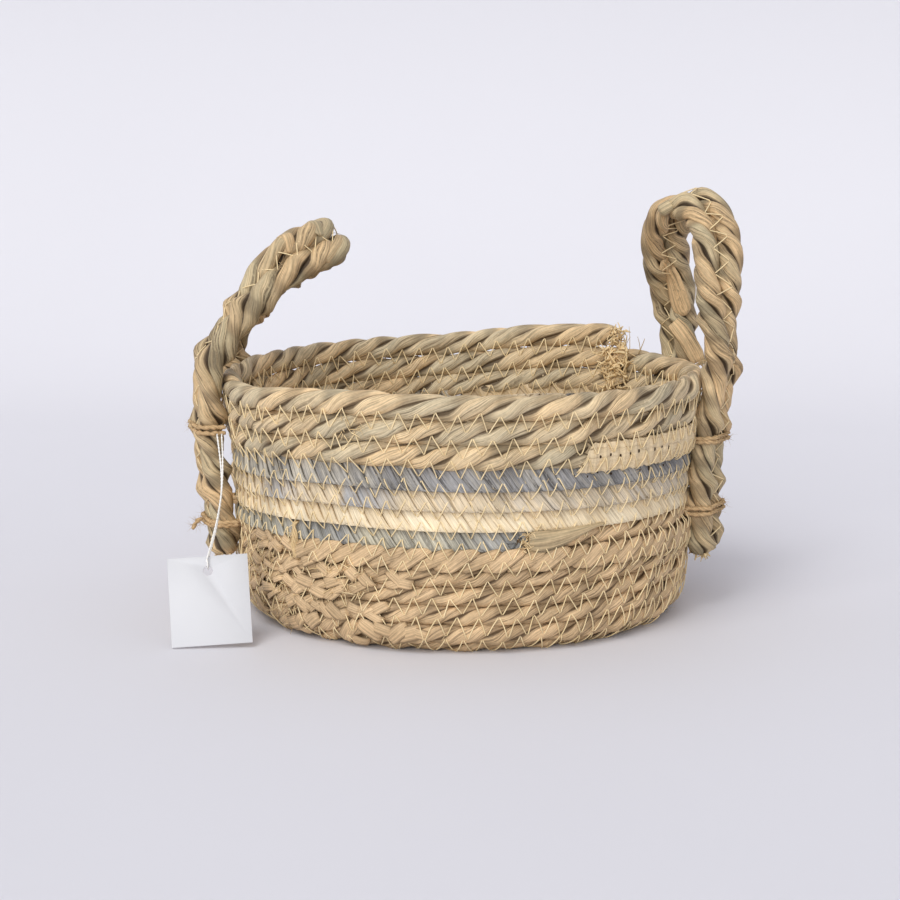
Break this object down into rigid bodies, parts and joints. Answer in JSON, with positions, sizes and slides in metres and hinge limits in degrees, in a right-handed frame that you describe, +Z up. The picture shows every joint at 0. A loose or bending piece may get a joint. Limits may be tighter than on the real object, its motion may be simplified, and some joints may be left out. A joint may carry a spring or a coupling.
{
  "type": "palm leaf basket",
  "caption": "Round open basket of coiled plaited palm leaf in natural and grey bands, with folding plaited handles tied on with twine and a blank hang tag.",
  "frame": {"origin": "middle of the base on the surface that the basket stands on", "axes": "+Z up, +X towards the right handle, -Y towards the front, which carries the hang tag on its left"},
  "size_m": [0.2706, 0.2334, 0.2008],
  "materials": {
    "tan_leaf": "matte",
    "grey_leaf": "matte",
    "pale_leaf": "matte",
    "mixed_leaf": "matte",
    "dark_leaf": "matte",
    "cream_leaf": "matte",
    "handle_leaf": "matte",
    "twine": "matte",
    "card": "matte",
    "thread": "matte"
  },
  "bodies": {
    "basket": {"base_coil": "tan_leaf", "lower_wall_braid": "tan_leaf", "grey_braid": "grey_leaf", "pale_braid": "pale_leaf", "mixed_braid": "mixed_leaf", "dark_braid": "dark_leaf", "cream_braid": "cream_leaf", "rim_braid": "tan_leaf", "left_front_leg_inner_braid": "handle_leaf", "left_front_leg_outer_braid": "handle_leaf", "left_rear_leg_inner_braid": "handle_leaf", "left_rear_leg_outer_braid": "handle_leaf", "right_front_leg_inner_braid": "handle_leaf", "right_front_leg_outer_braid": "handle_leaf", "right_rear_leg_inner_braid": "handle_leaf", "right_rear_leg_outer_braid": "handle_leaf", "left_front_upper_tie": "twine", "left_front_lower_tie": "twine", "left_rear_upper_tie": "twine", "left_rear_lower_tie": "twine", "right_front_upper_tie": "twine", "right_front_lower_tie": "twine", "right_rear_upper_tie": "twine", "right_rear_lower_tie": "twine"},
    "left_handle": {"left_loop_inner_braid": "handle_leaf", "left_loop_outer_braid": "handle_leaf"},
    "right_handle": {"right_loop_inner_braid": "handle_leaf", "right_loop_outer_braid": "handle_leaf"},
    "hang_tag": {"swing_tag": "card", "tag_thread": "thread"}
  },
  "joints": [
    {"name": "left_handle_fold", "type": "hinge", "parent": "basket", "child": "left_handle", "pos_m": [-0.12195, 0.01645, 0.126], "axis": [0.0869, 0.9962, 0], "range_deg": [-130, 30]},
    {"name": "right_handle_fold", "type": "hinge", "parent": "basket", "child": "right_handle", "pos_m": [0.11901, 0.01515, 0.126], "axis": [0.1898, -0.9818, 0], "range_deg": [-100, 70]},
    {"name": "tag_swing", "type": "hinge", "parent": "basket", "child": "hang_tag", "pos_m": [-0.116, -0.031, 0.0885], "axis": [-1, 0, 0], "range_deg": [0, 50]}
  ]
}
